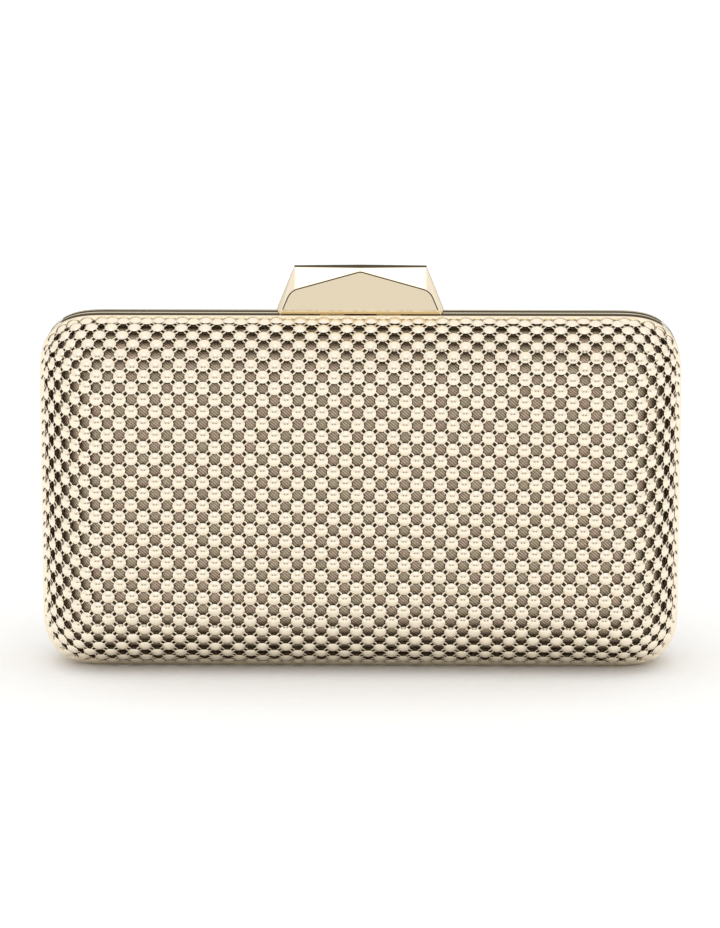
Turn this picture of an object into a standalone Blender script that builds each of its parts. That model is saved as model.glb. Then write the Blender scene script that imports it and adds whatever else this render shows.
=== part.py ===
"""Evening bag: a hard-sided box clutch in two cushion-shaped halves.

Metres, +Z up, front towards -Y, origin on the table under the middle of the bag.
The rear half is the root. The front half swings down and forward about the pins
under the seam, and the clasp lever lifts about a cross pin over the rear rail.
"""
import math

import bpy
import bmesh
from mathutils import Vector

MM = 0.001

# Overall size
WIDTH = 190.0 * MM
BODY_HEIGHT = 106.0 * MM
CORNER_POWER = 3.0            # the outline's corners are superellipse quarters
GAP = 0.3 * MM                # between pieces that touch on the real bag

# Cushion form of each half, measured at its outermost skin
EDGE_RADIUS = 21.0 * MM       # roll from the face down to the frame
RIM_TILT = math.radians(75)   # slope at which the skin meets the frame lip
CROWN = 0.19                  # extra height at mid height, as a share of the roll
SKIN_INSET = 0.2 * MM
SKIN_START = 6.3 * MM         # distance of the skin's rim from the seam

# Layers of each half, as depths under the outermost skin
BALL_MESH = (0.0, 2.3 * MM)
SATIN = (2.6 * MM, 3.2 * MM)
SHELL = (3.5 * MM, 5.0 * MM)
LINING = (5.3 * MM, 6.1 * MM)
POCKET = (6.4 * MM, 7.0 * MM)
LAYER_RIM = 1.65 * MM         # the inner layers run into the frame this far

# Frame rails
SEAM = 0.15 * MM              # half of the gap between the two rails
RAIL_DEPTH = 6.0 * MM
LIP_WIDTH = 1.1 * MM
LIP_DEPTH = 2.3 * MM          # the lip hides the cut edge of the ball mesh
LIP_GROOVE = 0.35 * MM        # depth of the groove that sets the lip off
EDGE_BREAK = 0.25 * MM
RAIL_WALL = 1.25 * MM
FLANGE = 1.2 * MM
FLANGE_WIDTH = 5.2 * MM       # face that shows when the bag is open

# Hinge
HINGE_Z = 1.9 * MM
HINGE_X = 45.0 * MM
KNUCKLE_RADIUS = 1.35 * MM
PIN_RADIUS = 0.6 * MM
OPEN_HALF_ANGLE = math.radians(36)
LEAF_THICKNESS = 0.5 * MM
LEAF_END = 4.6 * MM
LEAF_HALF = 10.0 * MM
SCREW_X = 6.5 * MM            # screws either side of a leaf's middle
SCREW_Y = 3.2 * MM
SCREW_RADIUS = 0.6 * MM
PIN_PLAY = 0.15 * MM

# Clasp
CLASP_BASE_Z = 106.35 * MM
BASE_FRONT_Y = 5.1 * MM
BASE_REAR_Y = 3.9 * MM        # shorter, so that it turns clear of the rail
BELT_Z = 107.6 * MM
SHOULDER_Z = 113.1 * MM
PEAK_Z = 119.0 * MM
TOP_Z = 119.9 * MM
BELT_X = 24.7 * MM
BELT_Y = 6.2 * MM
BELT_CORNER = (0.9 * MM, 1.6 * MM)    # cut off each corner of the belt
SHOULDER_X = 21.7 * MM
TOP_X = 19.6 * MM
TOP_END_Y = 2.0 * MM
PEAK_Y = 4.0 * MM
PIVOT_Y = 3.2 * MM
PIVOT_Z = 108.3 * MM
PLATE_TOP = 106.65 * MM
LATCH_X = 8.0 * MM
LATCH_Y = 2.6 * MM
BRACKET_SCREW = (9.0 * MM, 2.2 * MM)

HALF_W = WIDTH / 2
HALF_H = BODY_HEIGHT / 2
CORNER = EDGE_RADIUS * math.sin(RIM_TILT)
SEAT_Z = BODY_HEIGHT - 0.35 * MM    # floor of the bracket's seat in the rear rail

GRID_X = (0.0, 0.25, 0.5, 0.7, 0.82, 0.9, 0.96, 1.0)
GRID_Z = (0.0, 0.35, 0.6, 0.76, 0.87, 0.95, 1.0)
CORNER_STEPS = 8


# ---------------------------------------------------------------- scene set-up

def clear_scene():
    for obj in list(bpy.data.objects):
        bpy.data.objects.remove(obj, do_unlink=True)


def new_collection(name):
    collection = bpy.data.collections.new(name)
    bpy.context.scene.collection.children.link(collection)
    return collection


def material(name, colour, roughness, metallic):
    mat = bpy.data.materials.new(name)
    mat.use_nodes = True
    shader = mat.node_tree.nodes["Principled BSDF"]
    shader.inputs["Base Color"].default_value = (*colour, 1.0)
    shader.inputs["Roughness"].default_value = roughness
    shader.inputs["Metallic"].default_value = metallic
    mat.diffuse_color = (*colour, 1.0)
    return mat


def add_object(name, bm, mat, collection, pivot=(0.0, 0.0, 0.0)):
    """Make an object of a bmesh, with its origin on the pivot it turns about."""
    bmesh.ops.recalc_face_normals(bm, faces=bm.faces)
    if bm.calc_volume(signed=True) < 0.0:
        bmesh.ops.reverse_faces(bm, faces=bm.faces)
    bmesh.ops.translate(bm, vec=-Vector(pivot), verts=bm.verts)
    mesh = bpy.data.meshes.new(name)
    bm.to_mesh(mesh)
    bm.free()
    obj = bpy.data.objects.new(name, mesh)
    obj.location = pivot
    if mat is not None:
        mesh.materials.append(mat)
    collection.objects.link(obj)
    return obj


def smooth(obj, angle=35.0):
    obj.data.shade_smooth()
    obj.data.set_sharp_from_angle(angle=math.radians(angle))
    return obj


def cut(obj, cutter, operation='DIFFERENCE'):
    modifier = obj.modifiers.new(cutter.name, 'BOOLEAN')
    modifier.operation = operation
    modifier.solver = 'EXACT'
    modifier.object = cutter
    cutter.hide_render = True
    cutter.display_type = 'WIRE'


# ---------------------------------------------------------------- basic solids

def box_bm(low, high):
    bm = bmesh.new()
    bmesh.ops.create_cube(bm, size=1.0)
    low = Vector(low)
    high = Vector(high)
    size = high - low
    for vert in bm.verts:
        vert.co = Vector((vert.co[i] + 0.5) * size[i] + low[i] for i in range(3))
    return bm


def turned_bm(rings, centre, axis, segments=16):
    """A turned solid: (distance along the axis, radius) rings joined by cones."""
    bm = bmesh.new()
    for (start, r_start), (end, r_end) in zip(rings, rings[1:]):
        piece = bmesh.ops.create_cone(bm, cap_ends=False, segments=segments,
                                      radius1=r_start, radius2=r_end, depth=end - start)
        bmesh.ops.translate(bm, verts=piece["verts"], vec=(0, 0, (start + end) / 2))
    bmesh.ops.remove_doubles(bm, verts=bm.verts, dist=0.00001)
    bmesh.ops.holes_fill(bm, edges=bm.edges, sides=0)
    turn = Vector((0, 0, 1)).rotation_difference(Vector(axis)).to_matrix()
    bmesh.ops.rotate(bm, verts=bm.verts, matrix=turn, cent=(0, 0, 0))
    bmesh.ops.translate(bm, verts=bm.verts, vec=centre)
    return bm


def skin_loops(bm, loops, closed=False):
    """Quads between matching closed loops of vertices."""
    pairs = list(zip(loops, loops[1:]))
    if closed:
        pairs.append((loops[-1], loops[0]))
    for near, far in pairs:
        count = len(near)
        for i in range(count):
            j = (i + 1) % count
            bm.faces.new((near[i], near[j], far[j], far[i]))


# ---------------------------------------------------------------- cushion form

def edge_share(along, half):
    """0 on the flat face, 1 on the outline, along one direction."""
    return max(0.0, abs(along) - (half - CORNER)) / CORNER


def skin_depth(x, z):
    """Distance of the outermost skin from the seam over a point of the face."""
    over_x = edge_share(x, HALF_W - SKIN_INSET)
    over_z = edge_share(z - HALF_H, HALF_H - SKIN_INSET)
    share = (over_x ** CORNER_POWER + over_z ** CORNER_POWER) ** (1 / CORNER_POWER)
    run = CORNER * min(share, 1.0)
    rise = math.sqrt(EDGE_RADIUS ** 2 - run ** 2) - EDGE_RADIUS * math.cos(RIM_TILT)
    crown = 1.0 + CROWN * (1.0 - ((z - HALF_H) / HALF_H) ** 2)
    return SKIN_START + rise * crown


def skin_normal(x, z):
    """Outward unit normal of the skin, as (across, away from the seam, up)."""
    step = 0.02 * MM
    inner_x = x - math.copysign(step, x)
    inner_z = z - math.copysign(step, z - HALF_H)
    here = skin_depth(x, z)
    slope_x = (here - skin_depth(inner_x, z)) / (x - inner_x)
    slope_z = (here - skin_depth(x, inner_z)) / (z - inner_z)
    return Vector((-slope_x, 1.0, -slope_z)).normalized()


def outline_scale(a, b):
    """How far a point of the unit square moves in to lie inside the outline."""
    reach = max(abs(a), abs(b))
    if reach == 0.0:
        return 1.0
    x = abs(a) / reach * (HALF_W - SKIN_INSET)
    z = abs(b) / reach * (HALF_H - SKIN_INSET)
    low = 0.5
    high = 1.0
    for _ in range(40):
        middle = (low + high) / 2
        share_x = edge_share(x * middle, HALF_W - SKIN_INSET)
        share_z = edge_share(z * middle, HALF_H - SKIN_INSET)
        if share_x ** CORNER_POWER + share_z ** CORNER_POWER > 1.0:
            high = middle
        else:
            low = middle
    return low + (1.0 - low) * (1.0 - reach)


def face_point(a, b, under):
    """A point of the layer that lies a given depth under the skin."""
    scale = outline_scale(a, b)
    x = a * scale * (HALF_W - SKIN_INSET)
    z = HALF_H + b * scale * (HALF_H - SKIN_INSET)
    surface = Vector((x, skin_depth(x, z), z))
    return surface - skin_normal(x, z) * under


def mirrored(values):
    return [-v for v in reversed(values[1:])] + list(values)


def layer_bm(side, outer, inner, columns, rows, rim=None, rim_floor=None):
    """A thin wall between two depths under the skin, closed all round its rim."""
    bm = bmesh.new()
    borders = []
    for under in (outer, inner):
        grid = []
        for b in rows:
            line = []
            for a in columns:
                point = face_point(a, b, under)
                if rim_floor is not None:
                    point.y = max(point.y, rim_floor)
                line.append(bm.verts.new((point.x, point.y * side, point.z)))
            grid.append(line)
        for low, high in zip(grid, grid[1:]):
            for i in range(len(columns) - 1):
                bm.faces.new((low[i], low[i + 1], high[i + 1], high[i]))
        border = grid[0] + [line[-1] for line in grid[1:]]
        border += grid[-1][-2::-1] + [line[0] for line in grid[-2:0:-1]]
        borders.append(border)
    loops = [borders[0]]
    if rim is not None:
        for border in borders:
            loops.append([bm.verts.new((v.co.x, rim * side, v.co.z)) for v in border])
    loops.append(borders[1])
    skin_loops(bm, loops)
    return bm


def make_layer(name, side, depths, mat, collection, pivot, rim=LAYER_RIM, rim_floor=None):
    bm = layer_bm(side, *depths, mirrored(GRID_X), mirrored(GRID_Z), rim, rim_floor)
    return smooth(add_object(name, bm, mat, collection, pivot))


# ---------------------------------------------------------------- frame rails

def outline_point(corner, turn, inset):
    """A point of the outline, moved in along the outline's own normal."""
    power = 2.0 / CORNER_POWER
    across = abs(math.cos(turn)) ** power
    up = abs(math.sin(turn)) ** power
    sign_x, sign_z = corner
    normal = Vector((across ** (CORNER_POWER - 1), up ** (CORNER_POWER - 1))).normalized()
    x = HALF_W - CORNER + CORNER * across - inset * normal.x
    z = HALF_H - CORNER + CORNER * up - inset * normal.y
    return sign_x * x, HALF_H + sign_z * z


def outline_loop(inset):
    loop = []
    for quarter, corner in enumerate(((1, 1), (-1, 1), (-1, -1), (1, -1))):
        turns = [math.pi / 2 * i / CORNER_STEPS for i in range(CORNER_STEPS + 1)]
        if quarter % 2:
            turns.reverse()
        loop += [outline_point(corner, turn, inset) for turn in turns]
    return loop


def rail_bm(side):
    wall = LIP_GROOVE + RAIL_WALL
    lip_start = RAIL_DEPTH - LIP_WIDTH
    profile = (
        (SEAM, EDGE_BREAK),
        (SEAM + EDGE_BREAK, 0.0),
        (lip_start - 0.45 * MM, 0.0),
        (lip_start - 0.2 * MM, LIP_GROOVE),
        (lip_start + 0.05 * MM, 0.0),
        (RAIL_DEPTH - 0.15 * MM, 0.0),
        (RAIL_DEPTH, 0.15 * MM),
        (RAIL_DEPTH, LIP_DEPTH),
        (lip_start, LIP_DEPTH),
        (lip_start, wall),
        (SEAM + FLANGE, wall),
        (SEAM + FLANGE, FLANGE_WIDTH),
        (SEAM, FLANGE_WIDTH),
    )
    bm = bmesh.new()
    loops = []
    for away, inset in profile:
        loops.append([bm.verts.new((x, away * side, z)) for x, z in outline_loop(inset)])
    skin_loops(bm, loops, closed=True)
    return bm


def groove_bm():
    """A wedge under the hinge axis, so that the opened rails don't meet."""
    reach = WIDTH / 2 - 2.0 * MM
    bottom = -0.5 * MM
    spread = math.tan(OPEN_HALF_ANGLE) * (HINGE_Z - bottom) + SEAM
    bm = box_bm((-reach, -spread, bottom), (reach, spread, HINGE_Z))
    for vert in bm.verts:
        if vert.co.z > 0.0:
            vert.co.y = math.copysign(SEAM + 0.05 * MM, vert.co.y)
    return bm


# ---------------------------------------------------------------- hinge

def side_box_bm(side, x_low, x_high, near, far, z_low, z_high):
    """A box given by its distances from the seam, on one side of it."""
    y_low, y_high = sorted((near * side, far * side))
    return box_bm((x_low, y_low, z_low), (x_high, y_high, z_high))


def make_leaf(name, side, centre_x, spans, mat, parts, cutters, pivot):
    """A strap inside the rail, with knuckles rolled on its edge over the seam."""
    strap_top = HINGE_Z + LEAF_THICKNESS
    clear = KNUCKLE_RADIUS + GAP
    strap = side_box_bm(side, centre_x - LEAF_HALF, centre_x + LEAF_HALF,
                        clear, LEAF_END, HINGE_Z, strap_top)
    leaf = add_object(name, strap, mat, parts, pivot)
    for number, (start, end) in enumerate(spans):
        low = centre_x + start
        high = centre_x + end
        tab = side_box_bm(side, low, high, 0.0, clear + 0.2 * MM, HINGE_Z, strap_top)
        knuckle = turned_bm(((low, KNUCKLE_RADIUS), (high, KNUCKLE_RADIUS)),
                            (0, 0, HINGE_Z), (1, 0, 0), 20)
        for kind, bm in (("tab", tab), ("knuckle", knuckle)):
            cut(leaf, add_object(f"{name}_{kind}_{number}", bm, None, cutters), 'UNION')
    bore = turned_bm(((centre_x - LEAF_HALF - MM, PIN_RADIUS + PIN_PLAY),
                      (centre_x + LEAF_HALF + MM, PIN_RADIUS + PIN_PLAY)),
                     (0, 0, HINGE_Z), (1, 0, 0), 20)
    cut(leaf, add_object(f"{name}_bore", bore, None, cutters))
    return smooth(leaf)


def screw_rings(base, head_radius, head_height, length, grow=0.0):
    """Countersunk screw along its axis: the head's face is at the base."""
    return (
        (base - grow, head_radius + grow),
        (base + head_height, SCREW_RADIUS + grow),
        (base + length, SCREW_RADIUS + grow),
    )


def make_screw(name, place, axis, rings, mat, parts, pivot=(0, 0, 0)):
    return smooth(add_object(name, turned_bm(rings, place, axis, 12), mat, parts, pivot))


# ---------------------------------------------------------------- clasp

def clasp_hull_bm():
    """The faceted block: a belt, leaning faces, a peak and a narrow top."""
    lean = (BELT_Y - PEAK_Y) / (PEAK_Z - BELT_Z)
    shoulder_y = BELT_Y - lean * (SHOULDER_Z - BELT_Z)
    shoulder = Vector((SHOULDER_X, shoulder_y, SHOULDER_Z))
    peak = Vector((0.0, PEAK_Y, PEAK_Z))
    top_end = Vector((TOP_X, TOP_END_Y, TOP_Z))
    normal = (peak - shoulder).cross(top_end - shoulder)
    top_middle_y = PEAK_Y - normal.z * (TOP_Z - PEAK_Z) / normal.y
    corners = [
        (BELT_X - BELT_CORNER[0], BELT_Y, BELT_Z),
        (BELT_X, BELT_Y - BELT_CORNER[1], BELT_Z),
        tuple(shoulder),
        tuple(top_end),
    ]
    middle = [tuple(peak), (0.0, top_middle_y, TOP_Z)]
    bm = bmesh.new()
    for depth_sign in (-1, 1):
        for x, y, z in middle:
            bm.verts.new((x, y * depth_sign, z))
        base_y = BASE_FRONT_Y if depth_sign < 0 else BASE_REAR_Y
        for side in (-1, 1):
            for x, y, z in corners:
                bm.verts.new((x * side, y * depth_sign, z))
            base_x = (BELT_X - BELT_CORNER[0]) * side
            bm.verts.new((base_x, base_y * depth_sign, CLASP_BASE_Z))
    hull = bmesh.ops.convex_hull(bm, input=bm.verts)
    inside = [v for v in hull["geom_interior"] if isinstance(v, bmesh.types.BMVert)]
    bmesh.ops.delete(bm, geom=inside, context='VERTS')
    bmesh.ops.dissolve_limit(bm, angle_limit=math.radians(1), verts=bm.verts, edges=bm.edges)
    return bm


def wire(name, points, radius, mat, collection):
    curve = bpy.data.curves.new(name, 'CURVE')
    curve.dimensions = '3D'
    curve.bevel_depth = radius
    curve.bevel_resolution = 1
    curve.use_fill_caps = True
    spline = curve.splines.new('POLY')
    spline.points.add(len(points) - 1)
    for target, point in zip(spline.points, points):
        target.co = (*point, 1.0)
    obj = bpy.data.objects.new(name, curve)
    curve.materials.append(mat)
    collection.objects.link(obj)
    return obj


def spring_points():
    """Torsion spring round the cross pin, with both ends pointing to the rear."""
    radius = 1.1 * MM
    turns = 5.5
    steps = int(turns * 10)
    first = -1.6 * MM
    points = [(first, PIVOT_Y + 1.0 * MM, PIVOT_Z - radius)]
    for i in range(steps + 1):
        angle = math.pi + 2 * math.pi * turns * i / steps
        x = first + 0.6 * MM * turns * i / steps
        points.append((x, PIVOT_Y + radius * math.sin(angle), PIVOT_Z + radius * math.cos(angle)))
    points.append((points[-1][0], PIVOT_Y + 1.1 * MM, PIVOT_Z + radius + 0.6 * MM))
    return points


# ---------------------------------------------------------------- the bag

def build_half(name, side, mats, parts, cutters, pivot):
    """Rail, shell, covers and lining of one half. Side is -1 in front, 1 behind."""
    rail = smooth(add_object(f"{name}_frame", rail_bm(side), mats["frame"], parts, pivot), 30)
    make_layer(f"{name}_ball_mesh", side, BALL_MESH, mats["mesh"], parts, pivot,
               rim=None, rim_floor=SKIN_START)
    make_layer(f"{name}_satin_cover", side, SATIN, mats["satin"], parts, pivot)
    make_layer(f"{name}_shell", side, SHELL, mats["shell"], parts, pivot)
    make_layer(f"{name}_lining", side, LINING, mats["lining"], parts, pivot)
    cut(rail, add_object(f"{name}_groove", groove_bm(), None, cutters))
    return rail


def build_hinges(rails, mats, parts, cutters, pivot):
    clear = KNUCKLE_RADIUS + GAP
    outer_spans = ((-9.8 * MM, -3.4 * MM), (3.4 * MM, 9.8 * MM))
    middle_span = ((-3.1 * MM, 3.1 * MM),)
    for place, centre_x in (("left", -HINGE_X), ("right", HINGE_X)):
        window = box_bm((centre_x - LEAF_HALF - GAP, -clear - 0.1 * MM, -MM),
                        (centre_x + LEAF_HALF + GAP, clear + 0.1 * MM, HINGE_Z + clear))
        window = add_object(f"hinge_window_{place}", window, None, cutters)
        for rail in rails.values():
            cut(rail, window)
        pin = turned_bm(((centre_x - 9.6 * MM, PIN_RADIUS), (centre_x + 9.6 * MM, PIN_RADIUS)),
                        (0, 0, HINGE_Z), (1, 0, 0), 20)
        smooth(add_object(f"hinge_pin_{place}", pin, mats["steel"], parts))
        for half, side, spans, turn in (("rear", 1, outer_spans, (0, 0, 0)),
                                        ("front", -1, middle_span, pivot)):
            leaf = make_leaf(f"hinge_leaf_{half}_{place}", side, centre_x, spans,
                             mats["hinge"], parts, cutters, turn)
            for end, shift in (("outer", math.copysign(SCREW_X, centre_x)),
                               ("inner", -math.copysign(SCREW_X, centre_x))):
                label = f"{half}_{place}_{end}"
                spot = (centre_x + shift, SCREW_Y * side, 0)
                rings = screw_rings(0.45 * MM, 1.1 * MM, 0.5 * MM, 1.9 * MM)
                hole = screw_rings(0.45 * MM, 1.1 * MM, 0.5 * MM, 3.0 * MM, PIN_PLAY)
                hole = ((-MM, hole[0][1]),) + hole
                make_screw(f"hinge_screw_{label}", spot, (0, 0, 1), rings, mats["steel"],
                           parts, turn)
                cutter = add_object(f"hinge_screw_hole_{label}",
                                    turned_bm(hole, spot, (0, 0, 1), 12), None, cutters)
                cut(leaf, cutter)
                cut(rails[half], cutter)


def build_bracket(rail, mats, parts, cutters):
    """Base plate in its seat on the rear rail, with two ears that carry the cross pin."""
    seat = box_bm((-14.3 * MM, 0.0, SEAT_Z), (14.3 * MM, 3.9 * MM, BODY_HEIGHT + MM))
    cut(rail, add_object("bracket_seat", seat, None, cutters))
    plate = box_bm((-14.0 * MM, 0.45 * MM, SEAT_Z + GAP), (14.0 * MM, 3.6 * MM, PLATE_TOP))
    bracket = add_object("clasp_bracket", plate, mats["hinge"], parts)
    for number, sign in enumerate((-1, 1)):
        low, high = sorted((12.8 * MM * sign, 13.8 * MM * sign))
        post = box_bm((low, PIVOT_Y - 1.25 * MM, SEAT_Z + 0.5 * MM), (high, 3.5 * MM, PIVOT_Z))
        eye = turned_bm(((low, 1.3 * MM), (high, 1.3 * MM)), (0, PIVOT_Y, PIVOT_Z), (1, 0, 0), 20)
        for kind, bm in (("post", post), ("eye", eye)):
            cut(bracket, add_object(f"bracket_{kind}_{number}", bm, None, cutters), 'UNION')
    bore = turned_bm(((-16.0 * MM, PIN_RADIUS + PIN_PLAY), (16.0 * MM, PIN_RADIUS + PIN_PLAY)),
                     (0, PIVOT_Y, PIVOT_Z), (1, 0, 0), 20)
    cut(bracket, add_object("bracket_bore", bore, None, cutters))
    for place, sign in (("left", -1), ("right", 1)):
        spot = (BRACKET_SCREW[0] * sign, BRACKET_SCREW[1], 0)
        top = PLATE_TOP - 0.05 * MM
        rings = screw_rings(-top, 1.0 * MM, 0.4 * MM, 2.0 * MM)
        hole = screw_rings(-top, 1.0 * MM, 0.4 * MM, 4.0 * MM, PIN_PLAY)
        hole = ((-top - MM, hole[0][1]),) + hole
        make_screw(f"bracket_screw_{place}", spot, (0, 0, -1), rings, mats["steel"], parts)
        cutter = add_object(f"bracket_screw_hole_{place}",
                            turned_bm(hole, spot, (0, 0, -1), 12), None, cutters)
        cut(bracket, cutter)
        cut(rail, cutter)
    smooth(bracket)
    pin = turned_bm(((-18.0 * MM, PIN_RADIUS), (18.0 * MM, PIN_RADIUS)),
                    (0, PIVOT_Y, PIVOT_Z), (1, 0, 0), 20)
    smooth(add_object("clasp_pivot_pin", pin, mats["steel"], parts))
    wire("clasp_spring", spring_points(), 0.2 * MM, mats["steel"], parts)


def build_lever(mats, parts, cutters):
    """Faceted block that turns on the cross pin, with its latch plate under it."""
    pivot = (0, PIVOT_Y, PIVOT_Z)
    block = add_object("clasp_block", clasp_hull_bm(), mats["frame"], parts, pivot)
    hollow = box_bm((-15.5 * MM, 0.0, 105.0 * MM), (15.5 * MM, 4.9 * MM, 110.8 * MM))
    recess = box_bm((-12.3 * MM, -4.4 * MM, 105.0 * MM), (12.3 * MM, -0.9 * MM, 107.7 * MM))
    bore = turned_bm(((-18.3 * MM, PIN_RADIUS + PIN_PLAY), (18.3 * MM, PIN_RADIUS + PIN_PLAY)),
                     (0, PIVOT_Y, PIVOT_Z), (1, 0, 0), 20)
    for kind, bm in (("hollow", hollow), ("recess", recess), ("bore", bore)):
        cut(block, add_object(f"clasp_{kind}", bm, None, cutters))
    plate = box_bm((-12.0 * MM, -4.1 * MM, 106.55 * MM), (12.0 * MM, -1.2 * MM, 107.4 * MM))
    latch = add_object("latch_plate", plate, mats["steel"], parts, pivot)
    tongue = box_bm((-4.5 * MM, -3.0 * MM, 103.75 * MM), (4.5 * MM, -2.1 * MM, 106.9 * MM))
    cut(latch, add_object("latch_tongue", tongue, None, cutters), 'UNION')
    for place, sign in (("left", -1), ("right", 1)):
        spot = (LATCH_X * sign, -LATCH_Y, 0)
        base = 106.6 * MM
        rings = screw_rings(base, 1.0 * MM, 0.4 * MM, 3.0 * MM)
        hole = screw_rings(base, 1.0 * MM, 0.4 * MM, 3.4 * MM, PIN_PLAY)
        hole = ((base - MM, hole[0][1]),) + hole
        make_screw(f"latch_screw_{place}", spot, (0, 0, 1), rings, mats["steel"], parts, pivot)
        cutter = add_object(f"latch_screw_hole_{place}",
                            turned_bm(hole, spot, (0, 0, 1), 12), None, cutters)
        cut(block, cutter)
        cut(latch, cutter)


def main():
    clear_scene()
    parts = new_collection("evening_bag")
    cutters = new_collection("cutters")
    mats = {
        "frame": material("polished_light_gold", (0.80, 0.70, 0.54), 0.08, 1.0),
        "mesh": material("ball_mesh_gold", (0.82, 0.73, 0.58), 0.18, 1.0),
        "satin": material("taupe_satin", (0.42, 0.33, 0.24), 0.45, 0.0),
        "shell": material("shell_board", (0.33, 0.28, 0.22), 0.7, 0.0),
        "lining": material("lining_satin", (0.52, 0.43, 0.32), 0.5, 0.0),
        "hinge": material("hinge_brass", (0.74, 0.62, 0.42), 0.25, 1.0),
        "steel": material("plated_steel", (0.78, 0.72, 0.62), 0.2, 1.0),
    }
    axis = (0, 0, HINGE_Z)
    rails = {
        "rear": build_half("rear", 1, mats, parts, cutters, (0, 0, 0)),
        "front": build_half("front", -1, mats, parts, cutters, axis),
    }
    build_hinges(rails, mats, parts, cutters, axis)
    slot = box_bm((-4.8 * MM, -4.6 * MM, 104.0 * MM), (4.8 * MM, -1.8 * MM, 107.0 * MM))
    cut(rails["front"], add_object("latch_slot", slot, None, cutters))
    build_bracket(rails["rear"], mats, parts, cutters)
    build_lever(mats, parts, cutters)
    pocket = layer_bm(1, *POCKET, (-0.62, -0.42, -0.2, 0.0, 0.2, 0.42, 0.62),
                      (-0.72, -0.5, -0.2, 0.05, 0.25))
    smooth(add_object("slip_pocket", pocket, mats["lining"], parts))


main()
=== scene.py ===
import math

import bpy
import bmesh
import numpy as np
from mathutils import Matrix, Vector


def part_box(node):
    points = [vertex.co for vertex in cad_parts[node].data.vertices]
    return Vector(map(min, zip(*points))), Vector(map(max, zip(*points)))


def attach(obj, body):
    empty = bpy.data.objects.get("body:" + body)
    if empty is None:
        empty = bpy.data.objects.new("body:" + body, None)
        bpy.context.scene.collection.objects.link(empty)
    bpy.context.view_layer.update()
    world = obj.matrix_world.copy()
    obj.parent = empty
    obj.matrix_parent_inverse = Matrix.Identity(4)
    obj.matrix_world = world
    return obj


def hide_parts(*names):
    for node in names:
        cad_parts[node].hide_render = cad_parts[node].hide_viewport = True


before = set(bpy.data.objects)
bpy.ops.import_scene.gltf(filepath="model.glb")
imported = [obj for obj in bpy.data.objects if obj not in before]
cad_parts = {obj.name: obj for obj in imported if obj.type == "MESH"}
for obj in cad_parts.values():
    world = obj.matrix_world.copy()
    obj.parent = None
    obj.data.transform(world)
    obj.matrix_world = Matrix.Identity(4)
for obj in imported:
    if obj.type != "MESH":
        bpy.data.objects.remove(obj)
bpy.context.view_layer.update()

MM = 0.001

# ------------------------------------------------------------------ sizes from the frame

rail_low, rail_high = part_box("front_frame")
skin_low, skin_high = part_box("front_ball_mesh")
HALF_W = (rail_high[0] - rail_low[0]) / 2
HALF_H = (rail_high[2] - rail_low[2]) / 2
RAIL_DEPTH = -rail_low[1]
SEAM = -rail_high[1]
SKIN_START = -skin_high[1]
SKIN_APEX = -skin_low[1]
SKIN_INSET = HALF_W - (skin_high[0] - skin_low[0]) / 2

# Form of the cushion halves, the same as in the frame's solids
EDGE_RADIUS = 21.0 * MM
RIM_TILT = math.radians(75)
CORNER_POWER = 3.0
CORNER = EDGE_RADIUS * math.sin(RIM_TILT)
ROLL_CENTRE = SKIN_START - EDGE_RADIUS * math.cos(RIM_TILT)
CROWN = (SKIN_APEX - ROLL_CENTRE) / EDGE_RADIUS - 1.0
FLAT_X = HALF_W - SKIN_INSET - CORNER
FLAT_Z = HALF_H - SKIN_INSET - CORNER

# Depths of each cloth's outer and inner face under the skin, and how near the seam its edge is
SATIN = (2.6 * MM, 3.2 * MM)
LINING = (5.3 * MM, 6.1 * MM)
POCKET = (6.4 * MM, 7.0 * MM)
CLOTH_EDGE = 1.65 * MM
FOLD = 0.3 * MM               # how much the pocket's turned hem adds to its thickness

# Rail section
LIP_WIDTH = 1.1 * MM
LIP_DEPTH = 2.3 * MM
COVE = 0.06 * MM              # how far the flat between seam bead and lip is sunk
SEAM_BEAD = 0.92 * MM
RAIL_WALL = 1.6 * MM
FLANGE = 1.2 * MM
FLANGE_WIDTH = 5.2 * MM

# Hinges, in windows cut through both rails
HINGE_Z = 1.9 * MM
HINGE_X = 45.0 * MM
WINDOW = (10.3 * MM, 1.75 * MM, 3.55 * MM)      # half width, half depth, top
OPEN_HALF_ANGLE = math.radians(36)
SCREW_PLACE = (6.5 * MM, 3.2 * MM)              # from the hinge's middle, from the seam
SCREW_BORE = 0.75 * MM

# Clasp; each box is a pair of corners
PIVOT = (3.2 * MM, 108.3 * MM)
PIVOT_BORE = (18.3 * MM, 0.75 * MM)             # half length, radius
LATCH_SLOT = ((-4.8 * MM, -4.6 * MM, 104.0 * MM), (4.8 * MM, -1.8 * MM, 107.5 * MM))
BRACKET_SEAT = ((-14.3 * MM, 0.0, 105.65 * MM), (14.3 * MM, 3.9 * MM, 108.0 * MM))
BRACKET_SCREW = (9.0 * MM, 2.2 * MM)
BLOCK_RECESS = ((-15.5 * MM, 0.0, 105.0 * MM), (15.5 * MM, 4.9 * MM, 110.8 * MM))
LATCH_RECESS = ((-12.3 * MM, -4.4 * MM, 105.0 * MM), (12.3 * MM, -0.9 * MM, 107.7 * MM))
LATCH_SCREW = (8.0 * MM, -2.6 * MM)
BELT_HEIGHT = 1.25 * MM
PEAK = (4.0 * MM, 0.9 * MM)                     # away from the seam, under the top
SHOULDER = (21.7 * MM, 6.75 * MM)               # beside the middle, over the base
TOP_END = (19.6 * MM, 2.0 * MM)
# Places along the rounded shoulder: beside the middle, and how far under the ridge's line
FLANK = ((18.6 * MM, 0.0), (19.6 * MM, 0.25 * MM), (20.4 * MM, 0.85 * MM), (20.95 * MM, 1.7 * MM))

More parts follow.
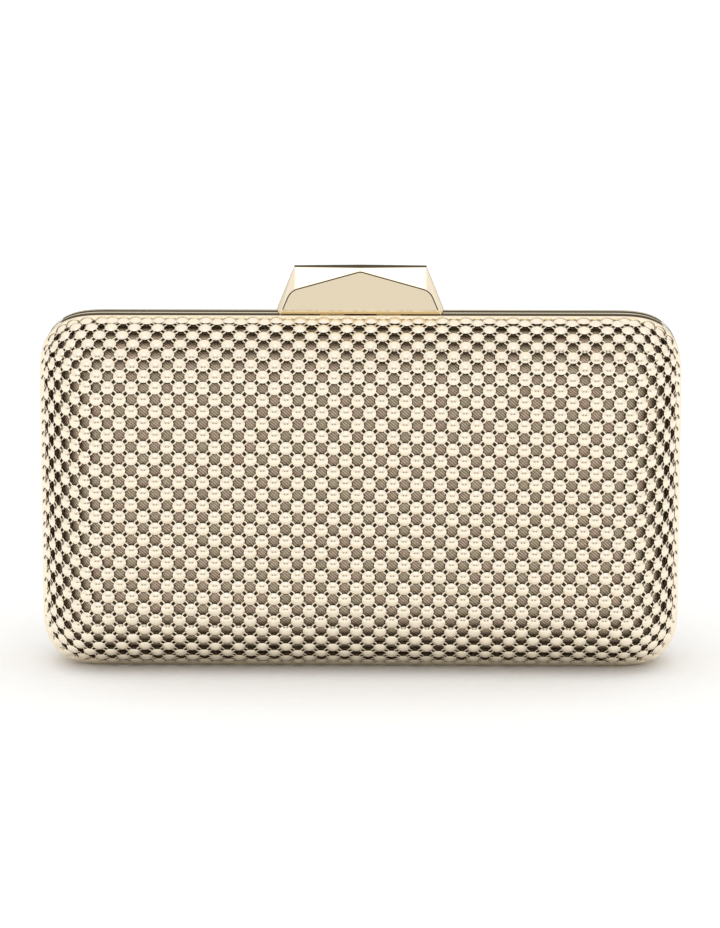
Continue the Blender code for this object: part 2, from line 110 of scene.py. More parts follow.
# Ball mesh
PITCH = 4.93 * MM
NET_SHIFT = (-0.65 * MM, 2.35 * MM)
NET_TURN = math.radians(-0.4)
BEAD_RADIUS = 1.93 * MM
BEAD_EDGE = math.radians(46)      # slope of the dome at its edge
HEM = SKIN_START + 1.3 * MM       # the last row of beads, beside the lip
HEM_REACH = 3.6 * MM              # beads this far past the hem are drawn back to it
# dark cup under each bead, painted shade round its edge
SHADE_CUP_RADIUS = 2.2 * MM
LINK_UNDER = 1.05 * MM
LINK_LENGTH = 2.1 * MM
LINK_WIDTH = 1.36 * MM
LINK_WIRE = (0.27 * MM, 0.17 * MM)    # half width and half height


# ------------------------------------------------------------------ materials

def linear(colour):
    """Scene colour of an sRGB hex value."""
    channels = [int(colour[i:i + 2], 16) / 255 for i in (1, 3, 5)]
    return [c / 12.92 if c <= 0.04045 else ((c + 0.055) / 1.055) ** 2.4 for c in channels] + [1.0]


def add(tree, kind, inputs=None, stops=(), **settings):
    """One node with its settings, its ramp's stops, and its inputs as values or links."""
    node = tree.nodes.new(kind)
    for name, value in settings.items():
        setattr(node, name, value)
    for name, value in (inputs or {}).items():
        if isinstance(value, bpy.types.NodeSocket):
            tree.links.new(value, node.inputs[name])
        else:
            node.inputs[name].default_value = value
    if stops:
        points = node.color_ramp.elements
        while len(points) < len(stops):
            points.new(0.5)
        for point, (place, colour) in zip(points, stops):
            point.position = place
            point.color = linear(colour) if isinstance(colour, str) else (colour,) * 3 + (1.0,)
    return node


def new_material(name, colour, metallic, roughness, **sockets):
    """A material with its node tree and its shader, for the caller to add to."""
    mat = bpy.data.materials.new(name)
    mat.use_nodes = True
    tree = mat.node_tree
    shader = tree.nodes["Principled BSDF"]
    shader.inputs["Base Color"].default_value = linear(colour)
    shader.inputs["Metallic"].default_value = metallic
    shader.inputs["Roughness"].default_value = roughness
    for name, value in sockets.items():
        shader.inputs[name.replace("_", " ")].default_value = value
    return mat, tree, shader


def polished_plate(name, colour, roughness, haze):
    """Zinc alloy, polished and plated light gold: a clean mirror with faint buffing marks."""
    mat, tree, shader = new_material(name, colour, 1.0, roughness)
    place = add(tree, "ShaderNodeTexCoord").outputs["Object"]
    buffing = add(tree, "ShaderNodeMapping", {"Vector": place, "Scale": (60.0, 900.0, 900.0)})
    marks = add(tree, "ShaderNodeTexNoise",
                {"Vector": buffing.outputs["Vector"], "Scale": 1.0, "Detail": 4.0})
    wear = add(tree, "ShaderNodeTexNoise", {"Vector": place, "Scale": 90.0, "Detail": 5.0})
    both = add(tree, "ShaderNodeMath", {0: marks.outputs["Fac"], 1: wear.outputs["Fac"]},
               operation='MULTIPLY')
    rough = add(tree, "ShaderNodeValToRGB", {"Fac": both.outputs["Value"]},
                stops=((0.15, roughness * 0.8), (0.5, haze)))
    tree.links.new(rough.outputs["Color"], shader.inputs["Roughness"])
    bump = add(tree, "ShaderNodeBump",
               {"Height": wear.outputs["Fac"], "Strength": 0.02, "Distance": 0.02 * MM})
    tree.links.new(bump.outputs["Normal"], shader.inputs["Normal"])
    return mat


def satin_weave(name, warm, cool, thread):
    """Twill satin: fine diagonal ribs that shine along their crests.

    Warm and cool are the darkest and lightest colours of its two casts, which drift across
    it. Real ribs are about 0.3 mm apart; these are coarser, at the given thread, to show."""
    mat, tree, shader = new_material(name, warm[0], 0.0, 0.42, Sheen_Weight=0.3,
                                     Sheen_Roughness=0.35, Specular_IOR_Level=0.7)
    cloth = add(tree, "ShaderNodeUVMap", uv_map="cloth").outputs["UV"]
    turned = add(tree, "ShaderNodeMapping",
                 {"Vector": cloth, "Rotation": (0.0, 0.0, math.radians(-48))})
    ribs = add(tree, "ShaderNodeTexWave",
               {"Vector": turned.outputs["Vector"], "Scale": 2 * math.pi / thread / 20.0,
                "Distortion": 0.5, "Detail": 2.0, "Detail Scale": 2.0},
               bands_direction='X', wave_profile='SIN')
    slub = add(tree, "ShaderNodeTexNoise", {"Vector": cloth, "Scale": 260.0, "Detail": 3.0})
    tone = add(tree, "ShaderNodeMix", {"Factor": 0.45, 2: ribs.outputs["Fac"],
                                       3: slub.outputs["Fac"]}).outputs[0]
    casts = [add(tree, "ShaderNodeValToRGB", {"Fac": tone},
                 stops=((0.2, dark), (0.8, light))).outputs["Color"] for dark, light in (warm, cool)]
    drift = add(tree, "ShaderNodeTexNoise", {"Vector": cloth, "Scale": 110.0, "Detail": 1.0})
    which = add(tree, "ShaderNodeMapRange",
                {"Value": drift.outputs["Fac"], "From Min": 0.4, "From Max": 0.6})
    colour = add(tree, "ShaderNodeMix", {"Factor": which.outputs["Result"], 6: casts[0],
                                         7: casts[1]}, data_type='RGBA')
    tree.links.new(colour.outputs[2], shader.inputs["Base Color"])
    bump = add(tree, "ShaderNodeBump",
               {"Height": ribs.outputs["Fac"], "Strength": 0.5, "Distance": 0.05 * MM})
    tree.links.new(bump.outputs["Normal"], shader.inputs["Normal"])
    return mat


def mottled(name, metallic, roughness, scale, detail, stops, **sockets):
    """A dull material whose colour drifts between two tones at the scale of its grain."""
    mat, tree, shader = new_material(name, stops[0][1], metallic, roughness, **sockets)
    place = add(tree, "ShaderNodeTexCoord").outputs["Object"]
    grain = add(tree, "ShaderNodeTexNoise", {"Vector": place, "Scale": scale, "Detail": detail})
    colour = add(tree, "ShaderNodeValToRGB", {"Fac": grain.outputs["Fac"]}, stops=stops)
    tree.links.new(colour.outputs["Color"], shader.inputs["Base Color"])
    return mat


GOLD = polished_plate("mirror_polished_light_gold_plate", "#F6EAD2", 0.05, 0.09)
BEADS = polished_plate("barrel_polished_light_gold_beads", "#F9EEDA", 0.17, 0.23)
BRASS = polished_plate("stamped_plated_brass", "#D9BE86", 0.22, 0.34)
STEEL = polished_plate("turned_plated_steel", "#D8CBB0", 0.18, 0.28)
# Dark oxidised brass: the real fill of the clasp's engraved lines, and painted shade in the cups,
# webs and lip strips under the ball mesh.
OXIDE_AND_PAINTED_SHADE = mottled("oxidised_brass", 0.2, 0.65, 900.0, 4.0, ((0.3, "#3C301E"), (0.7, "#56462E")))
THREAD = mottled("twisted_polyester_thread", 0.0, 0.5, 2500.0, 2.0,
                 ((0.35, "#BFAE8C"), (0.65, "#E4D5B4")), Sheen_Weight=0.3)
SATIN_CLOTH = satin_weave("taupe_twill_satin", ("#9C8268", "#FFE2C6"), ("#988668", "#F6E6C4"),
                          0.7 * MM)
LINING_CLOTH = satin_weave("champagne_lining_satin", ("#B29B7A", "#DECBAA"),
                           ("#B09D7A", "#DCCDAA"), 0.4 * MM)
BOARD = mottled("pressed_fibre_board", 0.0, 0.85, 700.0, 6.0,
                ((0.3, "#5B4E40"), (0.7, "#827360")))
PAPER = mottled("matt_white_paper", 0.0, 0.9, 300.0, 3.0, ((0.3, "#F8F8F8"), (0.7, "#FBFBFB")))


# ------------------------------------------------------------------ meshes and bodies

def piece_of(bm, name, mat, sharp=None):
    """A piece from a bmesh, smooth but for its sharp edges."""
    mesh = bpy.data.meshes.new(name)
    bm.to_mesh(mesh)
    bm.free()
    mesh.shade_smooth()
    if sharp is not None:
        mesh.set_sharp_from_angle(angle=math.radians(sharp))
    obj = bpy.data.objects.new(name, mesh)
    mesh.materials.append(mat)
    bpy.context.scene.collection.objects.link(obj)
    return obj


def face_outwards(bm):
    bmesh.ops.recalc_face_normals(bm, faces=bm.faces)
    if bm.calc_volume(signed=True) < 0.0:
        bmesh.ops.reverse_faces(bm, faces=bm.faces)


def freeze(obj):
    """Applies an object's modifiers, leaving a plain mesh."""
    graph = bpy.context.evaluated_depsgraph_get()
    mesh = bpy.data.meshes.new_from_object(obj.evaluated_get(graph), depsgraph=graph)
    obj.modifiers.clear()
    old = obj.data
    obj.data = mesh
    bpy.data.meshes.remove(old)


def carve(obj, cutters, sharp=25):
    """Cuts an object with bmesh cutters, which are used up."""
    tools = []
    for bm in cutters:
        face_outwards(bm)
        tool = piece_of(bm, obj.name + "_tool", obj.data.materials[0])
        modifier = obj.modifiers.new("carve", 'BOOLEAN')
        modifier.operation = 'DIFFERENCE'
        modifier.solver = 'EXACT'
        modifier.object = tool
        tools.append(tool)
    freeze(obj)
    obj.data.set_sharp_from_angle(angle=math.radians(sharp))
    for tool in tools:
        mesh = tool.data
        bpy.data.objects.remove(tool)
        bpy.data.meshes.remove(mesh)


def settle(obj, body, slot, *nodes):
    """Hands a finished piece to its body and hides the nodes it stands for. Its slot is not used."""
    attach(obj, body)
    if nodes:
        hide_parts(*nodes)


def box_bm(low, high):
    bm = bmesh.new()
    bmesh.ops.create_cube(bm, size=1.0)
    for vert in bm.verts:
        vert.co = Vector(low[i] + (vert.co[i] + 0.5) * (high[i] - low[i]) for i in range(3))
    return bm


def loops_bm(loops, wrap=False):
    """Quads between matching closed loops of points, and the rings of vertices."""
    bm = bmesh.new()
    rings = [[bm.verts.new(point) for point in loop] for loop in loops]
    pairs = list(zip(rings, rings[1:]))
    if wrap:
        pairs.append((rings[-1], rings[0]))
    for near, far in pairs:
        for i in range(len(near)):
            j = (i + 1) % len(near)
            bm.faces.new((near[i], near[j], far[j], far[i]))
    return bm, rings


def capped_bm(loops):
    """A closed solid through matching closed loops of points, and the rings of vertices."""
    bm, rings = loops_bm(loops)
    bm.faces.new(rings[0])
    bm.faces.new(rings[-1])
    face_outwards(bm)
    return bm, rings


def turned_bm(profile, centre, axis, segments=24):
    """A turned solid from (distance along the axis, radius) points, closed at both ends."""
    turn = Vector((0, 0, 1)).rotation_difference(Vector(axis)).to_matrix()
    loops = []
    for along, radius in profile:
        loop = []
        for i in range(segments):
            angle = 2 * math.pi * i / segments
            point = Vector((radius * math.cos(angle), radius * math.sin(angle), along))
            loop.append(turn @ point + Vector(centre))
        loops.append(loop)
    return capped_bm(loops)[0]


def peg_bm(radius, near, far, centre, axis):
    """A plain round rod between two distances along its axis."""
    return turned_bm(((near, radius), (far, radius)), centre, axis)


def cloth_piece(name, loops, marks, mat, sharp):
    """A closed sheet through loops of points, with flat-cloth coordinates at every point."""
    bm, rings = capped_bm(loops)
    uv = bm.loops.layers.uv.new("cloth")
    where = {vert: mark for ring, flat in zip(rings, marks) for vert, mark in zip(ring, flat)}
    for face in bm.faces:
        for loop in face.loops:
            loop[uv].uv = where[loop.vert]
    return piece_of(bm, name, mat, sharp)


# ------------------------------------------------------------------ cushion form

def power_length(a, b):
    return (np.abs(a) ** CORNER_POWER + np.abs(b) ** CORNER_POWER) ** (1 / CORNER_POWER)


def cushion(points):
    """Height over the cushion's skin, and its outward slope, at (across, away, up) points.

    Up is measured from the middle of the bag, and away from the seam."""
    across, away, up = points.T
    over_x = np.maximum(np.abs(across) - FLAT_X, 0.0)
    over_z = np.maximum(np.abs(up) - FLAT_Z, 0.0)
    run = np.maximum(power_length(over_x, over_z), 1e-9)
    lean_x = (over_x / run) ** (CORNER_POWER - 1) * np.sign(across)
    lean_z = (over_z / run) ** (CORNER_POWER - 1) * np.sign(up)
    crown = 1.0 + CROWN * (1.0 - (up / HALF_H) ** 2)
    fade = -2.0 * CROWN * up / HALF_H ** 2
    rise = np.maximum((away - ROLL_CENTRE) / crown, 0.0)
    reach = np.hypot(run, rise)
    slope = np.stack([
        run / reach * lean_x,
        rise / reach / crown,
        run / reach * lean_z - rise / reach * rise * fade / crown,
    ], axis=1)
    return reach - EDGE_RADIUS, slope


def onto_skin(points, rounds=4):
    """Moves points to the skin and gives the skin's outward normals there."""
    for _ in range(rounds):
        height, slope = cushion(points)
        points = points - (height / np.sum(slope ** 2, axis=1))[:, None] * slope
    slope = cushion(points)[1]
    return points, slope / np.linalg.norm(slope, axis=1)[:, None]


def rolled(u, v):
    """Where a point of the flat cloth lies on the skin."""
    turn_x = np.maximum(np.abs(u) - FLAT_X, 0.0) / EDGE_RADIUS
    turn_z = np.maximum(np.abs(v) - FLAT_Z, 0.0) / EDGE_RADIUS
    turn = np.maximum(power_length(turn_x, turn_z), 1e-9)
    run = EDGE_RADIUS * np.sin(np.minimum(turn, math.pi / 2))
    across = np.sign(u) * (np.minimum(np.abs(u), FLAT_X) + turn_x / turn * run)
    up = np.sign(v) * (np.minimum(np.abs(v), FLAT_Z) + turn_z / turn * run)
    crown = 1.0 + CROWN * (1.0 - (up / HALF_H) ** 2)
    away = ROLL_CENTRE + EDGE_RADIUS * np.cos(turn) * crown
    return np.stack([across, away, up], axis=1), turn


def to_world(points, side):
    return np.stack([points[:, 0], points[:, 1] * side, points[:, 2] + HALF_H], axis=1)


# ------------------------------------------------------------------ covers and linings

AROUND = 36                   # points in each quarter of a ring
STRAIGHT = 0.8                # share of a quarter's points on its straight side
ROLL_RINGS = 14
FACE_RINGS = 12


def ring_cloth(share_face, turn):
    """Flat-cloth coordinates of one ring: inside the flat face, or on the roll round it."""
    angle = np.arange(4 * AROUND) / AROUND * math.pi / 2 + math.pi / 4
    cosine = np.cos(angle)
    sine = np.sin(angle)
    power = 2 / CORNER_POWER
    edge = np.maximum(np.abs(cosine), np.abs(sine))
    if turn > 0.0:
        at_x = np.abs(cosine) >= np.abs(sine)
        part = np.where(at_x, np.abs(sine) / edge, np.abs(cosine) / edge)
        bend = np.clip((part - STRAIGHT) / (1 - STRAIGHT), 0.0, 1.0) * math.pi / 4
        main = np.cos(bend) ** power
        minor = np.sin(bend) ** power
        part = np.minimum(part / STRAIGHT, 1.0)
        u = np.where(at_x, FLAT_X + EDGE_RADIUS * turn * main,
                     part * FLAT_X + EDGE_RADIUS * turn * minor) * np.sign(cosine)
        v = np.where(at_x, part * FLAT_Z + EDGE_RADIUS * turn * minor,
                     FLAT_Z + EDGE_RADIUS * turn * main) * np.sign(sine)
    else:
        part_u = np.minimum(np.abs(cosine) / edge / STRAIGHT, 1.0)
        part_v = np.minimum(np.abs(sine) / edge / STRAIGHT, 1.0)
        u = part_u * FLAT_X * share_face * np.sign(cosine)
        v = part_v * FLAT_Z * share_face * np.sign(sine)
    return u, v


def cushion_sheet(name, side, depths, mat):
    """A sheet of cloth that follows the cushion between two depths under its skin."""
    rings = [(1.0, RIM_TILT * (1 - i / ROLL_RINGS)) for i in range(ROLL_RINGS)]
    rings += [(1 - i / FACE_RINGS, 0.0) for i in range(FACE_RINGS)]
    faces = []
    for under in depths:
        loops = []
        marks = []
        for share, tilt in rings:
            u, v = ring_cloth(share, tilt)
            points, normals = onto_skin(rolled(u, v)[0])
            loops.append(points - normals * under)
            marks.append(np.stack([u, v], axis=1))
        edge = loops[0].copy()
        edge[:, 1] = CLOTH_EDGE
        loops.insert(0, edge)
        marks.insert(0, marks[0] * (1 + 4 * MM / HALF_W))
        faces.append((loops, marks))
    (outer, outer_marks), (inner, inner_marks) = faces
    loops = outer[::-1] + inner
    marks = outer_marks[::-1] + inner_marks
    return cloth_piece(name, [to_world(loop, side) for loop in loops], marks, mat, 50)


# ------------------------------------------------------------------ ball mesh

SETTLE_ROUNDS = 160
SETTLE_STEP = 1.2             # more than the whole error a round, so that it settles sooner


def net_points():
    """The square net turned 45 degrees, wrapped on the cushion and let settle.

    Links hold beads about a pitch apart, second neighbours are kept clear of each other,
    and the net slides on the skin. Beads near the lip are drawn to one row beside it, and
    what runs under the lip is cut off."""
    step = PITCH / math.sqrt(2)
    across = int((FLAT_X + EDGE_RADIUS * 1.6) / step)
    upward = int((FLAT_Z + EDGE_RADIUS * 1.6) / step)
    index = [(i, j) for j in range(-upward, upward + 1) for i in range(-across, across + 1)
             if (i + j) % 2 == 0]
    grid = np.array(index, dtype=float)
    turn = np.array([[math.cos(NET_TURN), math.sin(NET_TURN)],
                     [-math.sin(NET_TURN), math.cos(NET_TURN)]])
    u, v = (grid * step @ turn + NET_SHIFT).T
    points, turn = rolled(u, v)
    inside = turn < math.radians(100)
    points = points[inside]
    index = [index[i] for i in np.nonzero(inside)[0]]
    place = {key: n for n, key in enumerate(index)}
    links = [(n, place[(i + di, j + 1)]) for n, (i, j) in enumerate(index)
             for di in (-1, 1) if (i + di, j + 1) in place]
    spaced = [(n, place[(i + di, j + dj)]) for n, (i, j) in enumerate(index)
              for di, dj in ((2, 0), (0, 2)) if (i + di, j + dj) in place]
    links = np.array(links)
    spaced = np.array(spaced)
    for _ in range(SETTLE_ROUNDS):
        shift = np.zeros_like(points)
        count = np.zeros(len(points))
        for pairs, least, most in ((links, 0.93 * PITCH, 1.005 * PITCH),
                                   (spaced, 2.0 * BEAD_RADIUS, math.inf)):
            gap = points[pairs[:, 1]] - points[pairs[:, 0]]
            length = np.linalg.norm(gap, axis=1)
            wrong = length - np.clip(length, least, most)
            move = gap * (0.5 * wrong / np.maximum(length, 1e-9))[:, None]
            np.add.at(shift, pairs[:, 0], move)
            np.add.at(shift, pairs[:, 1], -move)
            active = (wrong != 0.0).astype(float)
            np.add.at(count, pairs[:, 0], active)
            np.add.at(count, pairs[:, 1], active)
        points = points + shift / np.maximum(count, 1.0)[:, None] * SETTLE_STEP
        points = onto_skin(points, 1)[0]
    tucked = (points[:, 1] > HEM - HEM_REACH) & (points[:, 1] < HEM)
    points[tucked, 1] = HEM
    points, normals = onto_skin(points)
    kept = points[:, 1] > SKIN_START + 0.2 * MM
    links = links[kept[links[:, 0]] & kept[links[:, 1]]]
    return points, normals, kept, links


def scatter_tree():
    """Geometry nodes that set a copy of one shape on every point and turn it to fit."""
    tree = bpy.data.node_groups.new("set_on_points", 'GeometryNodeTree')
    face = tree.interface
    face.new_socket("Geometry", in_out='INPUT', socket_type='NodeSocketGeometry')
    face.new_socket("Shape", in_out='INPUT', socket_type='NodeSocketObject')
    face.new_socket("Finish", in_out='INPUT', socket_type='NodeSocketMaterial')
    face.new_socket("Geometry", in_out='OUTPUT', socket_type='NodeSocketGeometry')
    given = add(tree, "NodeGroupInput").outputs
    normal = add(tree, "GeometryNodeInputNamedAttribute", {"Name": "outward"},
                 data_type='FLOAT_VECTOR').outputs["Attribute"]
    along = add(tree, "GeometryNodeInputNamedAttribute", {"Name": "along"},
                data_type='FLOAT_VECTOR').outputs["Attribute"]
    upright = add(tree, "FunctionNodeAlignRotationToVector", {"Vector": normal}, axis='Z')
    turned = add(tree, "FunctionNodeAlignRotationToVector",
                 {"Rotation": upright.outputs["Rotation"], "Vector": along},
                 axis='X', pivot_axis='Z')
    shape = add(tree, "GeometryNodeObjectInfo", {"Object": given["Shape"]})
    copies = add(tree, "GeometryNodeInstanceOnPoints",
                 {"Points": given["Geometry"], "Instance": shape.outputs["Geometry"],
                  "Rotation": turned.outputs["Rotation"]})
    real = add(tree, "GeometryNodeRealizeInstances", {"Geometry": copies.outputs["Instances"]})
    done = add(tree, "GeometryNodeSetMaterial",
               {"Geometry": real.outputs["Geometry"], "Material": given["Finish"]})
    add(tree, "NodeGroupOutput", {"Geometry": done.outputs["Geometry"]})
    return tree


SCATTER = scatter_tree()


def scatter(name, shape, points, normals, along, mat):
    """Copies of a shape at the points, as one plain mesh."""
    mesh = bpy.data.meshes.new(name)
    mesh.from_pydata([tuple(p) for p in points], [], [])
    for label, vectors in (("outward", normals), ("along", along)):
        attribute = mesh.attributes.new(label, 'FLOAT_VECTOR', 'POINT')
        attribute.data.foreach_set("vector", np.asarray(vectors, dtype=float).ravel())
    obj = bpy.data.objects.new(name, mesh)
    bpy.context.scene.collection.objects.link(obj)
    modifier = obj.modifiers.new("scatter", 'NODES')
    modifier.node_group = SCATTER
    sockets = {item.name: item.identifier for item in SCATTER.interface.items_tree
               if item.in_out == 'INPUT'}
    modifier[sockets["Shape"]] = shape
    modifier[sockets["Finish"]] = mat
    freeze(obj)
    for label in ("outward", "along"):
        if label in obj.data.attributes:
            obj.data.attributes.remove(obj.data.attributes[label])
    return obj


def bead_shape():
    """One bead: a low dome with a crisp edge, drawn in under it to a narrow foot."""
    ball = BEAD_RADIUS / math.sin(BEAD_EDGE)
    slopes = [BEAD_EDGE * share for share in (0.25, 0.52, 0.78, 1.0)]
    profile = [(ball * (math.cos(slope) - 1), ball * math.sin(slope)) for slope in slopes]
    rim = profile[-1][0]
    profile.append((rim - 0.16 * MM, BEAD_RADIUS - 0.05 * MM))
    profile.append((rim - 0.85 * MM, BEAD_RADIUS - 0.75 * MM))
    sides = 14
    turns = [2 * math.pi * i / sides for i in range(sides)]
    bm, rings = loops_bm([[(radius * math.cos(turn), radius * math.sin(turn), height)
                           for turn in turns] for height, radius in profile])
    top = bm.verts.new((0, 0, 0))
    for i in range(sides):
        bm.faces.new((rings[0][i], rings[0][(i + 1) % sides], top))
    bm.faces.new(rings[-1])
    face_outwards(bm)
    return piece_of(bm, "bead", BEADS, 50)


def link_shape():
    """One link: a flat oval ring of wire."""
    straight = (LINK_LENGTH - LINK_WIDTH) / 2
    radius = LINK_WIDTH / 2
    path = []
    for end in (0, 1):
        for i in range(5):
            angle = math.pi * (i / 4 - 0.5) + math.pi * end
            shift = straight if end == 0 else -straight
            path.append((shift + radius * math.cos(angle), radius * math.sin(angle), angle))
    loops = []
    for x, y, angle in path:
        loop = []
        for k in range(4):
            round_wire = 2 * math.pi * (k + 0.5) / 4
            out = LINK_WIRE[0] * math.cos(round_wire)
            loop.append((x + out * math.cos(angle), y + out * math.sin(angle),
                         LINK_WIRE[1] * math.sin(round_wire) - LINK_UNDER))
        loops.append(loop)
    bm = loops_bm(loops, wrap=True)[0]
    face_outwards(bm)
    return piece_of(bm, "link", BEADS)


def shade_cup_shape():
    """The shallow dark cup under a bead: painted shade round the bead's edge."""
    profile = ((-2.15 * MM, 1.6 * MM), (-1.6 * MM, SHADE_CUP_RADIUS), (-1.35 * MM, SHADE_CUP_RADIUS))
    return piece_of(turned_bm(profile, (0, 0, 0), (0, 0, 1), 12), "cup", OXIDE_AND_PAINTED_SHADE, 30)


def shade_web_shape():
    """The flat dark bar that joins two cups under a link: painted shade between the link's wires."""
    return piece_of(box_bm((-0.9 * MM, -0.5 * MM, -2.05 * MM), (0.9 * MM, 0.5 * MM, -1.7 * MM)),
                    "web", OXIDE_AND_PAINTED_SHADE, 30)


def make_ball_mesh():
    """Beads, links, and the dark cups and webs that paint shade under them, of both halves, each
    kind as one piece.
    """
    points, normals, kept, links = net_points()
    middle = (points[links[:, 0]] + points[links[:, 1]]) / 2
    middle, middle_normals = onto_skin(middle)
    along = points[links[:, 1]] - points[links[:, 0]]
    level = np.tile([1.0, 0.0, 0.0], (kept.sum(), 1))
    shapes = {"beads": bead_shape(), "cups": shade_cup_shape(), "links": link_shape(),
              "webs": shade_web_shape()}
    for name, side in (("front", -1), ("rear", 1)):
        mirror = np.array([1.0, side, 1.0])
        for kind, shape in shapes.items():
            if kind in ("beads", "cups"):
                where, up, ahead = points[kept], normals[kept], level
            else:
                where, up, ahead = middle, middle_normals, along
            copies = scatter(f"{name}_mesh_{kind}", shape, to_world(where, side),
                             up * mirror, ahead * mirror, shape.data.materials[0])
            settle(copies, f"{name}_half", "ball_mesh", f"{name}_ball_mesh")
    for shape in shapes.values():
        bpy.data.objects.remove(shape)


# ------------------------------------------------------------------ frame rails

RAIL_STEPS = 28               # steps in each corner of the outline


def outline_loop(inset):
    """The rails' outline, moved in along its own normal."""
    loop = []
    power = 2 / CORNER_POWER
    for quarter, (sign_x, sign_z) in enumerate(((1, 1), (-1, 1), (-1, -1), (1, -1))):
        turns = [math.pi / 2 * i / RAIL_STEPS for i in range(RAIL_STEPS + 1)]
        if quarter % 2:
            turns.reverse()
        for turn in turns:
            across = abs(math.cos(turn)) ** power
            up = abs(math.sin(turn)) ** power
            normal = Vector((across ** (CORNER_POWER - 1), up ** (CORNER_POWER - 1)))
            normal.normalize()
            x = HALF_W - CORNER + CORNER * across - inset * normal.x
            z = HALF_H - CORNER + CORNER * up - inset * normal.y
            loop.append((sign_x * x, HALF_H + sign_z * z))
    return loop


def rounded_section(corners, radius, steps=6):
    """A closed section with rounded corners and a narrow flat strip beside each.

    A corner may give its own radius after its place."""
    points = []
    places = [Vector(corner[:2]) for corner in corners]
    for i, corner in enumerate(places):
        bend = corners[i][2] if len(corners[i]) > 2 else radius
        before = (places[i - 1] - corner).normalized()
        after = (places[(i + 1) % len(places)] - corner).normalized()
        start = corner + before * bend
        end = corner + after * bend
        points.append(start + before * 0.02 * MM)
        for k in range(steps + 1):
            t = k / steps
            points.append(start * (1 - t) ** 2 + corner * 2 * t * (1 - t) + end * t * t)
        points.append(end + after * 0.02 * MM)
    return points


def rail_section():
    """Rounded seam bead, flat cove, lip, and the flange that shows when the bag is open."""
    lip = RAIL_DEPTH - LIP_WIDTH
    crease = 0.03 * MM
    return rounded_section((
        (SEAM, 0.28 * MM, crease),
        (SEAM + 0.26 * MM, 0.0, 0.2 * MM),
        (SEAM + SEAM_BEAD - 0.26 * MM, 0.0, 0.16 * MM),
        (SEAM + SEAM_BEAD, COVE, crease),
        (lip, COVE, crease),
        (lip + 0.12 * MM, 0.0, crease),
        (RAIL_DEPTH, 0.0, 0.25 * MM),
        (RAIL_DEPTH, LIP_DEPTH),
        (lip, LIP_DEPTH),
        (lip, RAIL_WALL),
        (SEAM + FLANGE, RAIL_WALL),
        (SEAM + FLANGE, FLANGE_WIDTH),
        (SEAM, FLANGE_WIDTH),
    ), 0.12 * MM)


def swept_round(section, side):
    """A closed ring that carries a section of (away, inset) points round the outline."""
    bm = loops_bm([[(x, away * side, z) for x, z in outline_loop(inset)]
                   for away, inset in section], wrap=True)[0]
    face_outwards(bm)
    return bm


def groove_bm():
    """Wedge under the hinge axis, which lets the opened rails turn clear of each other."""
    reach = HALF_W - 2.0 * MM
    bottom = -0.5 * MM
    spread = math.tan(OPEN_HALF_ANGLE) * (HINGE_Z - bottom) + SEAM
    bm = box_bm((-reach, -spread, bottom), (reach, spread, HINGE_Z))
    for vert in bm.verts:
        if vert.co.z > 0.0:
            vert.co.y = math.copysign(SEAM + 0.05 * MM, vert.co.y)
    return bm


def screw_hole_bm(place, axis, base, head, depth):
    """Countersunk hole with 0.15 mm play round its screw."""
    profile = ((base - 1.0 * MM, head), (base, head), (base + 0.5 * MM, SCREW_BORE),
               (base + depth, SCREW_BORE))
    return turned_bm(profile, place, axis)


def make_rails():
    """The two rails, cut out for hinges, screws, the latch's tongue and the bracket."""
    for name, side in (("front", -1), ("rear", 1)):
        rail = piece_of(swept_round(rail_section(), side), f"{name}_rail", GOLD, 25)
        carve(rail, [groove_bm()])
        cutters = []
        for centre in (-HINGE_X, HINGE_X):
            cutters.append(box_bm((centre - WINDOW[0], -WINDOW[1], -1.0 * MM),
                                  (centre + WINDOW[0], WINDOW[1], WINDOW[2])))
            for shift in (-SCREW_PLACE[0], SCREW_PLACE[0]):
                cutters.append(screw_hole_bm((centre + shift, SCREW_PLACE[1] * side, 0),
                                             (0, 0, 1), 0.3 * MM, 1.25 * MM, 2.6 * MM))
        if name == "front":
            cutters.append(box_bm(*LATCH_SLOT))
        else:
            cutters.append(box_bm(*BRACKET_SEAT))
            for sign in (-1, 1):
                cutters.append(peg_bm(SCREW_BORE, 103.0 * MM, 107.0 * MM,
                                      (BRACKET_SCREW[0] * sign, BRACKET_SCREW[1], 0), (0, 0, 1)))
        carve(rail, cutters)
        settle(rail, f"{name}_half", "polished_gold", f"{name}_frame")


def make_lip_shade_strips():
    """Dark strips under the mesh's last row, along each lip: painted shade between the lip and the
    first beads.
    """
    section = rounded_section((
        (RAIL_DEPTH + 0.05 * MM, 1.5 * MM),
        (RAIL_DEPTH + 0.4 * MM, 1.6 * MM),
        (RAIL_DEPTH + 0.7 * MM, 2.0 * MM),
        (RAIL_DEPTH + 0.7 * MM, 2.8 * MM),
        (RAIL_DEPTH + 0.05 * MM, 2.8 * MM),
    ), 0.12 * MM)
    for name, side in (("front", -1), ("rear", 1)):
        strip = piece_of(swept_round(section, side), f"{name}_mesh_binding", OXIDE_AND_PAINTED_SHADE)
        settle(strip, f"{name}_half", "ball_mesh")


# ------------------------------------------------------------------ clasp

def clasp_corners():
    """Corners and slopes of the faceted block, set in the box of the frame's own block."""
    low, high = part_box("clasp_block")
    base = low[2]
    belt_z = base + BELT_HEIGHT
    peak = Vector((0.0, PEAK[0], high[2] - PEAK[1]))
    lean = (high[1] - peak.y) / (peak.z - belt_z)
    shoulder_z = base + SHOULDER[1]
    shoulder = Vector((SHOULDER[0], high[1] - lean * (shoulder_z - belt_z), shoulder_z))
    ridge = (peak.z - shoulder.z) / shoulder.x
    flank = [(x, peak.z - ridge * x - drop) for x, drop in FLANK]
    return {"base": base, "belt_x": high[0], "belt_y": high[1], "belt_z": belt_z,
            "peak": peak, "shoulder": shoulder, "flank": flank, "lean": lean, "ridge": ridge,
            "top_end": Vector((*TOP_END, high[2]))}


